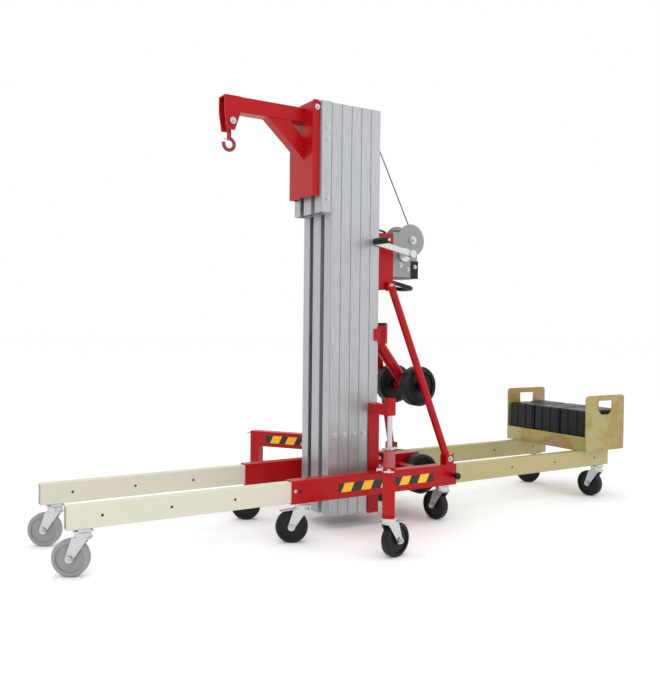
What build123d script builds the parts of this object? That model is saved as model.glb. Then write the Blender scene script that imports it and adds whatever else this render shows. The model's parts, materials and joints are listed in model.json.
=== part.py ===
from build123d import *
import os
from math import atan2, cos, degrees, hypot, pi, radians, sin, tan

# Manual stacker with a telescopic mast, a crane jib, swing-out stabilisers,
# push-in legs, a counterweight tray and a hand winch. Millimetres.
# +X points to the rear (winch side), +Y to the far side, +Z up. The origin is
# on the floor under the middle of the whole machine.

# Driving dimensions: base tubes and legs
TRACK_HALF = 205.0          # centre line to the middle of a base tube
BASE_LENGTH = 810.0
TUBE_WIDTH = 50.0
TUBE_HEIGHT = 90.0
TUBE_WALL = 4.0
LEG_CLEARANCE = 1.0         # free play all round between a leg and its tube
LEG_WALL = 3.0
LEG_INSERT_SHARE = 0.44     # part of its tube that a leg fills
FRONT_REACH = 830.0         # free length of a front leg
REAR_REACH = 990.0          # free length of a rear leg
LEG_HOLE_RADIUS = 5.0
LEG_HOLES = 3

# Casters
CASTER_HEIGHT = 155.0       # floor to the underside of what the caster carries
WHEEL_RADIUS = 62.5
WHEEL_WIDTH = 36.0
CASTER_TRAIL = 38.0         # swivel axis to axle
TURN_FORWARD = 149.0        # which way a caster trails, from +X
TURN_ASIDE = 98.0
TURN_BACK = 12.0
CASTER_PLATE = 6.0
CASTER_INSET = 57.0         # swivel axis to the end of a leg or tube
AXLE_RADIUS = 6.0
FORK_PLATE = 3.0
FORK_GAP = 2.5              # wheel side to fork cheek
RUNNING = 0.05              # radial clearance of every turning fit
CLEAR = 0.3                 # clearance between pieces that move past each other

# Mast
SECTIONS = 5
MAST_SHARE = 233.0 / 810.0  # part of the base that lies ahead of the mast
MAST_BOTTOM = 56.0
MAST_LENGTH = 1684.0
MAST_HALF_WIDTH = 111.0
SECTION_PITCH = 48.0
SECTION_GAP = 0.6
CORNER_NOTCH = 2.0          # step at the outer corners of a section
SECTION_WALL = 6.0
SECTION_WEB = 5.0
LIP = 5.0
SLOT_INNER = 30.0           # track slot, from this distance off the middle
SLOT_OUTER = 60.0           # to this one
RAIL_NECK = 10.0
RAIL_HEAD = 6.0
RAIL_HEAD_WIDTH = 40.0
RAIL_CLEARANCE = 0.6
CARRIAGE_LENGTH = 448.0
CARRIAGE_RISE = 3.0         # carriage top above the mast top

# Crane jib and hook
JIB_DEPTH = 33.0
JIB_HALF_WIDTH = 96.0
JIB_HEIGHT = 379.0
JIB_PLATE = 6.0
BOOM_SIZE = 60.0
BOOM_WALL = 5.0
BOOM_REACH = 299.0          # jib plate to the end of the boom tube
BRACE_RUN = 166.0           # length of the brace along the boom
BRACE_DROP = 150.0          # and down the jib plate
BRACE_WIDTH = 95.0
BOOM_DROP = 16.0            # mast top to the top of the boom
CHEEK_LENGTH = 54.0
CHEEK_DROP = 132.0
HOOK_PIN_RADIUS = 7.0
HOOK_PIN_DROP = 115.0
HOOK_EYE = 15.0
HOOK_BOWL = 22.0
HOOK_WIRE = 7.0
HOOK_DROP = 85.0            # pin to the centre of the bowl
LATCH_BARREL = 2.5
LATCH_BACK = 12.5           # hook neck to the latch pivot
LATCH_RISE = 20.5           # bowl centre to the latch pivot

# Winch and rope
BRACKET_DEPTH = 106.0
BRACKET_HALF_WIDTH = 66.0
BRACKET_PLATE = 6.0
BRACKET_BOTTOM = 997.0
BRACKET_HEIGHT = 240.0
WINCH_PLATE = 3.0
WINCH_DEPTH = 134.0
WINCH_LIFT = 54.0           # bracket bottom to the winch frame
WINCH_HEIGHT = 196.0
DRUM_OFFSET = 107.0         # winch back plate to the drum shaft
DRUM_RISE = 166.0           # winch frame bottom to the drum shaft
DRUM_HALF_WIDTH = 52.0
DRUM_FLANGE = 4.0
DRUM_RADIUS = 71.0
DRUM_CORE = 40.0
WINDING_RADIUS = 52.0
SHAFT_RADIUS = 8.0
GEAR_MODULE = 3.0
GEAR_TEETH = 42
PINION_TEETH = 12
GEAR_WIDTH = 8.0
GEAR_BACKLASH = 0.5
PINION_ANGLE = 236.1        # direction from drum shaft to crank shaft
CRANK_LENGTH = 204.0
CRANK_ANGLE = 168.7
CRANK_PLATE = 6.0
CRANK_BAR = 24.0
CRANK_OFFSET = 118.0        # centre line to the inner face of the crank arm
GRIP_LENGTH = 100.0
GRIP_RADIUS = 14.0
GRIP_PIN_RADIUS = 6.0
ROPE_RADIUS = 2.5
ROPE_END = 60.0             # mast foot to the end of the rope
PULLEY_RADIUS = 32.0
PULLEY_GROOVE = 28.0
PULLEY_WIDTH = 20.0
PULLEY_DROP = 60.0
PULLEY_BEHIND = 47.0        # front of the last section to the pulley axle
PULLEY_AXLE = 6.0
HANDLE_RADIUS = 9.0
HANDLE_HALF_WIDTH = 52.0
HANDLE_REACH = 122.0
HANDLE_FALL = 26.0
HANDLE_BEND = 28.0

# Carrier, struts, stabilisers
CARRIER_PLATE = 6.0
CARRIER_DEPTH = 53.0
CARRIER_BOTTOM = 51.0
CARRIER_TOP = 514.0
STUB_SIZE = 40.0
PIVOT_OFFSET = 240.0        # centre line to a stabiliser spindle
SPINDLE_RADIUS = 11.0
PIVOT_BACK = 27.4           # mast rear to the spindle axis
SPINDLE_COLLAR = 18.0
SPINDLE_WING = 34.0
ARM_LENGTH = 370.0
ARM_ANGLE = 54.0            # how far an arm stands out from the base tube
ARM_WIDTH = 45.0
ARM_HEIGHT = 70.0
ARM_WALL = 4.0
ARM_LIFT = 17.0             # top of a base tube to the underside of an arm
SLEEVE_RADIUS = 24.0
LUG = 10.0
STRUT_RADIUS = 16.0
STRUT_RISE = 11.0           # bracket bottom to the upper end of a strut
STRUT_FOOT_INSET = 32.0
CROSS_DEPTH = 45.0
CROSS_GAP = 5.0             # cross beam to the lower wheels

# Loading wheels
LOADER_RADIUS = 87.0
LOADER_WIDTH = 60.0
LOADER_AXLE = 10.0
LOADER_BEHIND = 228.0       # mast rear to the upper wheel axle
LOADER_HEIGHT = 575.0
LOADER_INNER = 60.0         # centre line to the inside of an upper wheel
LOADER_TUBE = 25.0
LOADER_HEAD_BEHIND = 46.0
LOADER_HEAD_RADIUS = 32.0
LOADER_HEAD_DROP = 155.0    # winch bracket to the loader head
LOADER_HEAD_HEIGHT = 82.0
LOWER_INNER = 40.0
LOWER_HEIGHT = 183.0
LOWER_INSET = 75.0          # tube end to the lower wheel axle

# Counterweight tray
TRAY_WIDTH = 275.0
TRAY_FRONT = 1590.0
TRAY_HALF_LENGTH = 265.0
TRAY_PLATE = 6.0
TRAY_END_HEIGHT = 270.0
TRAY_LIP = 70.0
HAND_HOLE_WIDTH = 100.0
HAND_HOLE_HEIGHT = 68.0
HAND_HOLE_DROP = 26.0
WEIGHTS_ALONG = 3
WEIGHTS_ACROSS = 2
WEIGHT_HEIGHT = 190.0
WEIGHT_GAP = 6.0
RIB_GROOVE = 5.0

# Locking plungers
PLUNGER_INSET = 28.0
PLUNGER_RADIUS = 6.0
PLUNGER_BITE = 13.0
PLUNGER_STEM = 40.0
KNOB_RADIUS = 14.0
BOSS_RADIUS = 11.0
BOSS_LENGTH = 13.0

# Worked-out places
TUBE_BOTTOM = CASTER_HEIGHT
TUBE_TOP = TUBE_BOTTOM + TUBE_HEIGHT
TUBE_MIDDLE = TUBE_BOTTOM + TUBE_HEIGHT / 2
LEG_WIDTH = TUBE_WIDTH - 2 * (TUBE_WALL + LEG_CLEARANCE)
LEG_HEIGHT = TUBE_HEIGHT - 2 * (TUBE_WALL + LEG_CLEARANCE)
LEG_TOP = TUBE_MIDDLE + LEG_HEIGHT / 2
LEG_BOTTOM = TUBE_MIDDLE - LEG_HEIGHT / 2
REAR_END = BASE_LENGTH + REAR_REACH
LEG_INSERT = LEG_INSERT_SHARE * BASE_LENGTH
SECTION_DEPTH = SECTION_PITCH - SECTION_GAP
MAST_FRONT = MAST_SHARE * BASE_LENGTH
MAST_REAR = MAST_FRONT + SECTIONS * SECTION_PITCH - SECTION_GAP
MAST_TOP = MAST_BOTTOM + MAST_LENGTH
LAST_SECTION = MAST_FRONT + (SECTIONS - 1) * SECTION_PITCH
CARRIAGE_FRONT = MAST_FRONT - SECTION_PITCH
JIB_FRONT = CARRIAGE_FRONT - JIB_DEPTH
JIB_BOTTOM = MAST_TOP - JIB_HEIGHT
BOOM_END = JIB_FRONT - BOOM_REACH
HOOK_X = BOOM_END - 0.42 * CHEEK_LENGTH
HOOK_PIN_Z = MAST_TOP - HOOK_PIN_DROP
BRACKET_REAR = MAST_REAR + BRACKET_DEPTH
WINCH_BACK = BRACKET_REAR + WINCH_PLATE
WINCH_REAR = BRACKET_REAR + WINCH_DEPTH
DRUM_X = BRACKET_REAR + DRUM_OFFSET
WINCH_BOTTOM = BRACKET_BOTTOM + WINCH_LIFT
DRUM_HEIGHT = WINCH_BOTTOM + DRUM_RISE
STRUT_TOP = BRACKET_BOTTOM + STRUT_RISE
LOADER_HEAD_TOP = BRACKET_BOTTOM - LOADER_HEAD_DROP
GEAR_DISTANCE = GEAR_MODULE * (GEAR_TEETH + PINION_TEETH) / 2
CRANK_X = DRUM_X + GEAR_DISTANCE * cos(radians(PINION_ANGLE))
CRANK_Z = DRUM_HEIGHT + GEAR_DISTANCE * sin(radians(PINION_ANGLE))
GRIP_X = CRANK_X + CRANK_LENGTH * cos(radians(CRANK_ANGLE))
GRIP_Z = CRANK_Z + CRANK_LENGTH * sin(radians(CRANK_ANGLE))
GEAR_INNER = DRUM_HALF_WIDTH + 1.0
PLATE_NEAR = DRUM_HALF_WIDTH + 6.0
PLATE_FAR = GEAR_INNER + GEAR_WIDTH + 5.0
PULLEY_X = LAST_SECTION + PULLEY_BEHIND
PULLEY_Z = MAST_TOP - PULLEY_DROP
CARRIER_FRONT = MAST_REAR + CLEAR
PIVOT_X = MAST_REAR - PIVOT_BACK
ARM_BOTTOM = TUBE_TOP + ARM_LIFT
ARM_TOP = ARM_BOTTOM + ARM_HEIGHT
LOADER_X = MAST_REAR + LOADER_BEHIND
HEAD_X = MAST_REAR + LOADER_HEAD_BEHIND
LOWER_X = BASE_LENGTH - LOWER_INSET
CROSS_FRONT = LOWER_X - LOADER_RADIUS - CROSS_DEPTH - CROSS_GAP
TRAY_BOTTOM = LEG_TOP
PLUNGER_X = BASE_LENGTH - PLUNGER_INSET
WHEEL_SIDE = WHEEL_WIDTH / 2 + FORK_GAP
LEAN = abs(cos(radians(TURN_FORWARD)))
WHEEL_REACH = (CASTER_TRAIL + WHEEL_RADIUS) * LEAN + WHEEL_WIDTH / 2 * abs(sin(radians(TURN_FORWARD)))
FRONT_EDGE = FRONT_REACH - CASTER_INSET + WHEEL_REACH
X_SHIFT = (FRONT_EDGE - (TRAY_FRONT + TRAY_WIDTH)) / 2

NODES = {}


def keep(name, shape):
    """File a piece under its node name, moved so that the machine stands over the origin."""
    NODES[name] = Pos(X_SHIFT, 0, 0) * shape


def block(x0, x1, y0, y1, z0, z1):
    """A box from its six sides."""
    return Pos((x0 + x1) / 2, (y0 + y1) / 2, (z0 + z1) / 2) * Box(x1 - x0, y1 - y0, z1 - z0)


def rod_y(x, z, radius, y0, y1):
    """A round bar across the machine."""
    return Pos(x, (y0 + y1) / 2, z) * Rot(90, 0, 0) * Cylinder(radius, y1 - y0)


def rod_z(x, y, radius, z0, z1):
    """An upright round bar."""
    return Pos(x, y, (z0 + z1) / 2) * Cylinder(radius, z1 - z0)


def box_tube_x(x0, x1, y, z, width, height, wall):
    """An open rectangular tube along the machine."""
    outer = block(x0, x1, y - width / 2, y + width / 2, z - height / 2, z + height / 2)
    outer = fillet(outer.edges().filter_by(Axis.X), wall)
    inner_w = width / 2 - wall
    inner_h = height / 2 - wall
    return outer - block(x0 - 1, x1 + 1, y - inner_w, y + inner_w, z - inner_h, z + inner_h)


def side_plate(points, y0, y1):
    """A flat plate across Y from its outline in X and Z."""
    outline = Plane.XZ * Polygon(*points, align=None)
    return Pos(0, (y0 + y1) / 2, 0) * extrude(outline, (y1 - y0) / 2, both=True)


def mast_profile(with_rails):
    """Cross-section of one mast extrusion: a channel with two track slots and a middle box.

    The rails on its back hook behind the slot lips of the section behind it.
    """
    def bar(x0, x1, y0, y1):
        return Pos((x0 + x1) / 2, (y0 + y1) / 2) * Rectangle(x1 - x0, y1 - y0)

    half = MAST_HALF_WIDTH
    edge = half - CORNER_NOTCH
    shape = bar(SECTION_DEPTH - SECTION_WEB, SECTION_DEPTH, -edge, edge)
    shape += bar(0, LIP, -SLOT_INNER, SLOT_INNER)
    neck_y = (SLOT_INNER + SLOT_OUTER) / 2
    head_x = SECTION_PITCH + LIP + RAIL_CLEARANCE
    head_y = SLOT_INNER + LIP + RAIL_HEAD_WIDTH / 2
    for side in (-1, 1):
        wall = bar(CORNER_NOTCH, SECTION_DEPTH - CORNER_NOTCH, -SECTION_WALL / 2, SECTION_WALL / 2)
        shape += Pos(0, side * (half - SECTION_WALL / 2)) * wall
        lip_width = edge - SLOT_OUTER
        shape += Pos(0, side * (edge - lip_width / 2)) * bar(0, LIP, -lip_width / 2, lip_width / 2)
        shape += Pos(0, side * (SLOT_INNER - LIP / 2)) * bar(0, SECTION_DEPTH, -LIP / 2, LIP / 2)
        if with_rails:
            neck = bar(SECTION_DEPTH - SECTION_WEB, head_x + RAIL_HEAD, -RAIL_NECK / 2, RAIL_NECK / 2)
            shape += Pos(0, side * neck_y) * neck
            head = bar(head_x, head_x + RAIL_HEAD, -RAIL_HEAD_WIDTH / 2, RAIL_HEAD_WIDTH / 2)
            shape += Pos(0, side * head_y) * head
    return shape


def build_mast():
    """Five nested sections and the short carriage that runs on the first one."""
    for number in range(1, SECTIONS + 1):
        last = number == SECTIONS
        place = Pos(MAST_FRONT + (number - 1) * SECTION_PITCH, 0, MAST_BOTTOM)
        section = place * extrude(mast_profile(not last), MAST_LENGTH)
        if last:
            slot_half = PULLEY_WIDTH / 2 + 7
            slot_top = MAST_TOP + 1
            slot_bottom = PULLEY_Z - PULLEY_RADIUS - 10
            section -= block(MAST_REAR - SECTION_WEB - 1, MAST_REAR + 1, -slot_half, slot_half, slot_bottom, slot_top)
        keep(f"mast_section_{number}", section)
    carriage = extrude(mast_profile(True), CARRIAGE_LENGTH)
    keep("carriage", Pos(CARRIAGE_FRONT, 0, MAST_TOP + CARRIAGE_RISE - CARRIAGE_LENGTH) * carriage)


def build_jib():
    """Channel bracket on the carriage, with the boom, its brace and the hook cheeks."""
    half = JIB_HALF_WIDTH
    ear = 6.0
    web = block(JIB_FRONT, JIB_FRONT + JIB_PLATE, -half, half, JIB_BOTTOM, MAST_TOP)
    bracket = web
    for side in (-1, 1):
        inner = half - JIB_PLATE
        flange = side_plate(
            [
                (JIB_FRONT, JIB_BOTTOM),
                (CARRIAGE_FRONT, JIB_BOTTOM),
                (CARRIAGE_FRONT, MAST_TOP + ear),
                (JIB_FRONT + ear, MAST_TOP + ear),
                (JIB_FRONT, MAST_TOP),
            ],
            min(side * inner, side * half),
            max(side * inner, side * half),
        )
        rear_corner = flange.edges().filter_by(Axis.Y).group_by(Axis.Z)[-1].sort_by(Axis.X)[-1]
        bracket += fillet(rear_corner, 2 * ear)
    keep("jib_bracket", bracket)

    side_y = BOOM_SIZE / 2
    boom_top = MAST_TOP - BOOM_DROP
    boom_bottom = boom_top - BOOM_SIZE
    boom = box_tube_x(BOOM_END, JIB_FRONT, 0, boom_top - side_y, BOOM_SIZE, BOOM_SIZE, BOOM_WALL)
    boom += side_plate(
        [
            (JIB_FRONT - BRACE_RUN, boom_bottom + 1),
            (JIB_FRONT - BRACE_RUN + BRACE_WIDTH, boom_bottom + 1),
            (JIB_FRONT, boom_bottom - BRACE_DROP * (1 - BRACE_WIDTH / BRACE_RUN)),
            (JIB_FRONT, boom_bottom - BRACE_DROP),
        ],
        -side_y + BOOM_WALL,
        side_y - BOOM_WALL,
    )
    lap = CHEEK_LENGTH / 4
    taper = CHEEK_LENGTH / 5
    tip = BOOM_END - CHEEK_LENGTH
    for side in (-1, 1):
        y0, y1 = sorted((side * (side_y - JIB_PLATE), side * side_y))
        boom += side_plate(
            [
                (tip, boom_top),
                (BOOM_END + lap, boom_top),
                (BOOM_END + lap, boom_bottom),
                (BOOM_END - taper, boom_top - CHEEK_DROP),
                (tip + taper, boom_top - CHEEK_DROP),
                (tip, boom_bottom),
            ],
            y0,
            y1,
        )
    boom += block(tip, BOOM_END + lap, -side_y + 1, side_y - 1, boom_top - BOOM_WALL, boom_top)
    pin_half = side_y + JIB_PLATE
    boom += rod_y(HOOK_X, HOOK_PIN_Z, HOOK_PIN_RADIUS, -pin_half, pin_half)
    keep("jib_boom", boom)

    eye = rod_y(HOOK_X, HOOK_PIN_Z, HOOK_EYE, -HOOK_WIRE, HOOK_WIRE)
    eye -= rod_y(HOOK_X, HOOK_PIN_Z, HOOK_PIN_RADIUS + RUNNING, -2 * HOOK_WIRE, 2 * HOOK_WIRE)
    bowl_z = HOOK_PIN_Z - HOOK_DROP
    bowl_sweep = 285.0
    start = HOOK_PIN_Z - HOOK_EYE + HOOK_WIRE / 2
    bowl = Torus(HOOK_BOWL, HOOK_WIRE, major_angle=bowl_sweep)
    bowl = Pos(HOOK_X, 0, bowl_z) * Rot(0, 90 + bowl_sweep - 180, 0) * Rot(90, 0, 0) * bowl
    neck = 1.25 * HOOK_WIRE
    hook = eye + rod_z(HOOK_X, 0, neck, bowl_z + HOOK_BOWL - 0.7 * neck, start)
    hook += bowl
    keep("hook", hook)

    latch_top = bowl_z + HOOK_BOWL + HOOK_WIRE
    latch = block(HOOK_X - HOOK_BOWL, HOOK_X - neck - 0.8, -5, 5, latch_top - 10, latch_top - 7)
    pivot_x = HOOK_X - LATCH_BACK
    latch += rod_y(pivot_x, bowl_z + LATCH_RISE, LATCH_BARREL, -5, 5)
    keep("hook_latch", latch)


def gear(teeth, inner_y):
    """A spur gear across Y, with involute flanks thinned by the backlash."""
    pitch = GEAR_MODULE * teeth / 2
    base = pitch * cos(radians(20))
    outer = pitch + GEAR_MODULE * 0.9
    root = pitch - GEAR_MODULE * 1.2
    half_tooth = pi / (2 * teeth) - GEAR_BACKLASH / (2 * pitch)
    lean = tan(radians(20)) - radians(20)
    flank = []
    steps = 3
    first = max(base, root + 0.05)
    for step in range(steps + 1):
        radius = first + (outer - first) * step / steps
        roll = max(0.0, (radius / base) ** 2 - 1) ** 0.5
        flank.append((radius, half_tooth + lean - (roll - atan2(roll, 1))))
    points = []
    for tooth in range(teeth):
        middle = 2 * pi * tooth / teeth
        edge = [(root, flank[0][1])] + flank
        for radius, angle in edge:
            points.append((radius * cos(middle - angle), radius * sin(middle - angle)))
        for radius, angle in reversed(edge):
            points.append((radius * cos(middle + angle), radius * sin(middle + angle)))
    outline = Plane.XZ * Polygon(*points, align=None)
    return Pos(0, inner_y + GEAR_WIDTH / 2, 0) * extrude(outline, GEAR_WIDTH / 2, both=True)


def build_winch():
    """Bracket, winch frame, drum, crank, grip and cover."""
    half = BRACKET_HALF_WIDTH
    top = BRACKET_BOTTOM + BRACKET_HEIGHT
    front = MAST_REAR + CLEAR
    flange = 34.0
    bracket = block(BRACKET_REAR - BRACKET_PLATE, BRACKET_REAR, -half, half, BRACKET_BOTTOM, top)
    for side in (-1, 1):
        y0, y1 = sorted((side * (half - BRACKET_PLATE), side * half))
        bracket += block(front, BRACKET_REAR, y0, y1, BRACKET_BOTTOM, top)
        y0, y1 = sorted((side * (half - BRACKET_PLATE), side * (half + flange)))
        bracket += block(front, front + BRACKET_PLATE, y0, y1, BRACKET_BOTTOM, top)
    keep("winch_bracket", bracket)

    winch_top = WINCH_BOTTOM + WINCH_HEIGHT
    near, far = PLATE_NEAR, PLATE_FAR
    frame = block(BRACKET_REAR, WINCH_BACK, -near, far, WINCH_BOTTOM, winch_top)
    for y0, y1 in ((-near - WINCH_PLATE, -near), (far, far + WINCH_PLATE)):
        plate = block(BRACKET_REAR, WINCH_REAR, y0, y1, WINCH_BOTTOM, winch_top)
        corners = plate.edges().filter_by(Axis.Y).group_by(Axis.X)[-1]
        frame += fillet(corners, 4 * WINCH_PLATE)
    tie = 5.0
    for x, z in ((WINCH_REAR - 14, WINCH_BOTTOM + 24), (WINCH_BACK + 14, winch_top - 12)):
        frame += rod_y(x, z, tie, -near - WINCH_PLATE, far + WINCH_PLATE)
    for x, z in ((DRUM_X, DRUM_HEIGHT), (CRANK_X, CRANK_Z)):
        frame -= rod_y(x, z, SHAFT_RADIUS + RUNNING, -near - 2 * WINCH_PLATE, far + 2 * WINCH_PLATE)
    keep("winch_frame", frame)

    cover_plate = 3.0
    cover_rise = 74.0
    cover_depth = 34.0
    low = WINCH_BOTTOM - CLEAR - cover_plate
    out = near + WINCH_PLATE + CLEAR
    rear = WINCH_REAR + CLEAR
    rise = WINCH_BOTTOM + cover_rise
    cover = block(WINCH_BACK, rear + cover_plate, -out - cover_plate, far + WINCH_PLATE, low, low + cover_plate)
    cover += block(rear, rear + cover_plate, -out - cover_plate, far + WINCH_PLATE, low, rise)
    cover += block(WINCH_REAR - cover_depth, rear + cover_plate, -out - cover_plate, -out, low, rise)
    keep("winch_cover", cover)

    width = DRUM_HALF_WIDTH
    drum = rod_y(DRUM_X, DRUM_HEIGHT, SHAFT_RADIUS, -near - WINCH_PLATE - 8, far + WINCH_PLATE + 8)
    drum += rod_y(DRUM_X, DRUM_HEIGHT, DRUM_CORE, -width, GEAR_INNER)
    for y0, y1 in ((-width, -width + DRUM_FLANGE), (width - DRUM_FLANGE, width)):
        drum += rod_y(DRUM_X, DRUM_HEIGHT, DRUM_RADIUS, y0, y1)
    drum += rod_y(DRUM_X, DRUM_HEIGHT, WINDING_RADIUS, -width, width)
    drum += Pos(DRUM_X, 0, DRUM_HEIGHT) * gear(GEAR_TEETH, GEAR_INNER)
    keep("winch_drum", drum)

    mesh_turn = PINION_ANGLE + 180 * (1 - 1 / PINION_TEETH)
    gear_phase = (PINION_ANGLE % (360 / GEAR_TEETH)) * GEAR_TEETH / PINION_TEETH
    pinion = Rot(0, -(mesh_turn + gear_phase), 0) * gear(PINION_TEETH, GEAR_INNER)
    outer = CRANK_OFFSET + CRANK_PLATE
    crank = rod_y(CRANK_X, CRANK_Z, SHAFT_RADIUS, -outer, far + WINCH_PLATE + 8)
    crank += Pos(CRANK_X, 0, CRANK_Z) * pinion
    crank += rod_y(CRANK_X, CRANK_Z, CRANK_BAR * 0.7, -outer - 6, -CRANK_OFFSET + 10)
    bar = Pos(CRANK_LENGTH / 2, 0) * SlotOverall(CRANK_LENGTH + CRANK_BAR, CRANK_BAR)
    bar = Pos(CRANK_X, -CRANK_OFFSET - CRANK_PLATE / 2, CRANK_Z) * Rot(0, -CRANK_ANGLE, 0) * extrude(Plane.XZ * bar, CRANK_PLATE / 2, both=True)
    crank += bar
    grip_start = -outer - CLEAR
    grip_end = grip_start - GRIP_LENGTH
    crank += rod_y(GRIP_X, GRIP_Z, GRIP_PIN_RADIUS, grip_end - 4, -CRANK_OFFSET)
    keep("crank", crank)

    grip = rod_y(GRIP_X, GRIP_Z, GRIP_RADIUS, grip_end, grip_start)
    grip = chamfer(grip.edges(), GRIP_RADIUS / 3)
    grip -= rod_y(GRIP_X, GRIP_Z, GRIP_PIN_RADIUS + RUNNING, grip_end - 1, grip_start + 1)
    keep("crank_grip", grip)


def build_rope():
    """Pulley at the mast head and the taut rope from the drum over it, down inside the mast."""
    pulley = rod_y(PULLEY_X, PULLEY_Z, PULLEY_RADIUS, -PULLEY_WIDTH / 2, PULLEY_WIDTH / 2)
    groove = ROPE_RADIUS + 1.5
    bottom = PULLEY_GROOVE - 0.3 * groove
    for side in (-1, 1):
        half_v = Cone(bottom, bottom + 2 * groove, 2 * groove)
        ring = Cylinder(PULLEY_RADIUS + groove, 2 * groove) - half_v
        pulley -= Pos(PULLEY_X, side * groove, PULLEY_Z) * Rot(-90 * side, 0, 0) * ring
    pulley -= rod_y(PULLEY_X, PULLEY_Z, PULLEY_AXLE + RUNNING, -PULLEY_WIDTH, PULLEY_WIDTH)
    keep("top_pulley", pulley)

    cheek = 4.0
    inner = PULLEY_WIDTH / 2 + 1.5
    foot = 24.0
    tall = 26.0
    bracket = rod_y(PULLEY_X, PULLEY_Z, PULLEY_AXLE, -inner - cheek, inner + cheek)
    for side in (-1, 1):
        y0, y1 = sorted((side * inner, side * (inner + cheek)))
        bracket += block(
            PULLEY_X - PULLEY_AXLE - 4, PULLEY_X + PULLEY_RADIUS + 4, y0, y1, PULLEY_Z - tall, PULLEY_Z + tall
        )
        y0, y1 = sorted((side * inner, side * (inner + foot)))
        bracket += block(MAST_REAR + CLEAR, MAST_REAR + CLEAR + cheek, y0, y1, PULLEY_Z - tall, PULLEY_Z + tall)
    keep("pulley_bracket", bracket)

    on_drum = WINDING_RADIUS + ROPE_RADIUS + CLEAR
    on_pulley = PULLEY_GROOVE + ROPE_RADIUS + CLEAR
    run_x = PULLEY_X - DRUM_X
    run_z = PULLEY_Z - DRUM_HEIGHT
    run = hypot(run_x, run_z)
    spread = (on_pulley - on_drum) / run
    normal = atan2(run_z, run_x) - (pi / 2 - spread)
    leave = (DRUM_X + on_drum * cos(normal), DRUM_HEIGHT + on_drum * sin(normal))
    meet = (PULLEY_X + on_pulley * cos(normal), PULLEY_Z + on_pulley * sin(normal))
    over = 180 - degrees(normal)
    inside_end = MAST_BOTTOM + ROPE_END
    along = (meet[0] - leave[0], meet[1] - leave[1])
    with BuildLine(Plane.XZ) as spine:
        Line(leave, meet)
        CenterArc((PULLEY_X, PULLEY_Z), on_pulley, degrees(normal), over)
        Line((PULLEY_X - on_pulley, PULLEY_Z), (PULLEY_X - on_pulley, inside_end))
    start = Plane(origin=(leave[0], 0, leave[1]), z_dir=(along[0], 0, along[1]))
    keep("winch_rope", sweep(start * Circle(ROPE_RADIUS), path=spine.wire()))


def build_handle():
    """Bent push handle under the winch."""
    top = BRACKET_BOTTOM + 33
    x1 = BRACKET_REAR + HANDLE_REACH
    half = HANDLE_HALF_WIDTH
    low = top - HANDLE_FALL
    path = FilletPolyline(
        (BRACKET_REAR, -half, top),
        (x1, -half, low),
        (x1, half, low),
        (BRACKET_REAR, half, top),
        radius=HANDLE_BEND,
    )
    start = Plane(origin=(BRACKET_REAR, -half, top), z_dir=(HANDLE_REACH, 0, -HANDLE_FALL))
    handle = sweep(start * Circle(HANDLE_RADIUS), path=path)
    handle -= block(BRACKET_REAR - 30, BRACKET_REAR, -2 * half, 2 * half, low - 30, top + 30)
    keep("push_handle", handle)


def base_tube(side):
    """One base tube with its spindle lug and, at the rear end, the boss of the locking plunger."""
    y = side * TRACK_HALF
    tube = box_tube_x(0, BASE_LENGTH, y, TUBE_MIDDLE, TUBE_WIDTH, TUBE_HEIGHT, TUBE_WALL)
    y0, y1 = sorted((side * (TRACK_HALF - TUBE_WIDTH / 2 + TUBE_WALL), side * (PIVOT_OFFSET + SLEEVE_RADIUS)))
    tube += block(PIVOT_X - SLEEVE_RADIUS, PIVOT_X + SLEEVE_RADIUS, y0, y1, TUBE_TOP, TUBE_TOP + LUG)
    face = TRACK_HALF + TUBE_WIDTH / 2
    y0, y1 = sorted((side * face, side * (face + BOSS_LENGTH)))
    tube += rod_y(PLUNGER_X, TUBE_MIDDLE, BOSS_RADIUS, y0, y1)
    y0, y1 = sorted((side * (face - TUBE_WALL - 1), side * (face + BOSS_LENGTH + 1)))
    tube -= rod_y(PLUNGER_X, TUBE_MIDDLE, PLUNGER_RADIUS + RUNNING, y0, y1)
    return tube


def leg(x0, x1, side, hole_xs):
    """One leg tube with its cross holes."""
    y = side * TRACK_HALF
    tube = box_tube_x(x0, x1, y, TUBE_MIDDLE, LEG_WIDTH, LEG_HEIGHT, LEG_WALL)
    for x in hole_xs:
        tube -= rod_y(x, TUBE_MIDDLE, LEG_HOLE_RADIUS, y - LEG_WIDTH, y + LEG_WIDTH)
    return tube


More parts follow.
